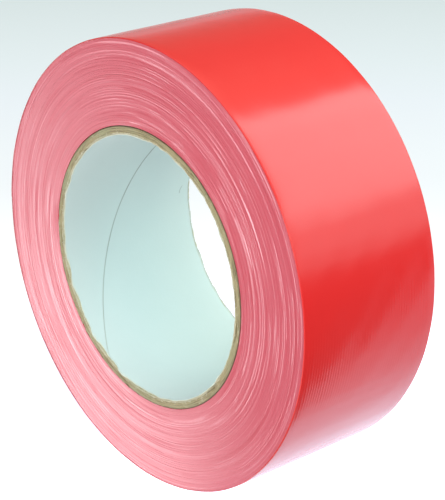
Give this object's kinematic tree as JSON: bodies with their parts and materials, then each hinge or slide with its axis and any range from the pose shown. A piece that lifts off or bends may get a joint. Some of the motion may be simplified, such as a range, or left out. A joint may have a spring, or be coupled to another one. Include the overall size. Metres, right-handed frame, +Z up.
{
  "type": "duct tape roll",
  "caption": "Roll of glossy cloth-backed tape: a spiral-wound board core with a pale paper liner, the wound tape, and a free tape end that peels up.",
  "frame": {"origin": "centre of the roll: on its axis, half-way across the tape's width", "axes": "+Z up, with the roll standing on its tread; Y along the roll's axis, with the side face that looks along -Y towards the viewer; the free tape end is on the -X side"},
  "size_m": [0.1301, 0.048, 0.1301],
  "materials": {
    "red_film": "gloss",
    "cloth": "matte",
    "adhesive": "satin",
    "tape_edges": "satin",
    "core_board": "matte",
    "liner_paper": "matte"
  },
  "bodies": {
    "roll": {"core_liner": "liner_paper", "core_ply_1": "core_board", "core_ply_2": "core_board", "core_ply_3": "core_board", "core_ply_4": "core_board", "tape_windings": "tape_edges", "outer_turn_adhesive": "adhesive", "outer_turn_cloth": "cloth", "outer_turn_film": "red_film"},
    "end_length_1": {"tape_end_adhesive_1": "adhesive", "tape_end_cloth_1": "cloth", "tape_end_film_1": "red_film"},
    "end_length_2": {"tape_end_adhesive_2": "adhesive", "tape_end_cloth_2": "cloth", "tape_end_film_2": "red_film"},
    "end_length_3": {"tape_end_adhesive_3": "adhesive", "tape_end_cloth_3": "cloth", "tape_end_film_3": "red_film"},
    "end_length_4": {"tape_end_adhesive_4": "adhesive", "tape_end_cloth_4": "cloth", "tape_end_film_4": "red_film"}
  },
  "joints": [
    {"name": "peel_1", "type": "hinge", "parent": "roll", "child": "end_length_1", "pos_m": [-0.04372, 0, 0.04824], "axis": [0, 1, 0], "range_deg": [0, 40]},
    {"name": "peel_2", "type": "hinge", "parent": "end_length_1", "child": "end_length_2", "pos_m": [-0.0523, 0, 0.03879], "axis": [0, 1, 0], "range_deg": [0, 28]},
    {"name": "peel_3", "type": "hinge", "parent": "end_length_2", "child": "end_length_3", "pos_m": [-0.05886, 0, 0.02784], "axis": [0, 1, 0], "range_deg": [0, 20]},
    {"name": "peel_4", "type": "hinge", "parent": "end_length_3", "child": "end_length_4", "pos_m": [-0.06317, 0, 0.01582], "axis": [0, 1, 0], "range_deg": [0, 14]}
  ],
  "couplings": [
    {"joint": "peel_2", "follows": "peel_1", "ratio": 0.7},
    {"joint": "peel_3", "follows": "peel_1", "ratio": 0.5},
    {"joint": "peel_4", "follows": "peel_1", "ratio": 0.35}
  ]
}
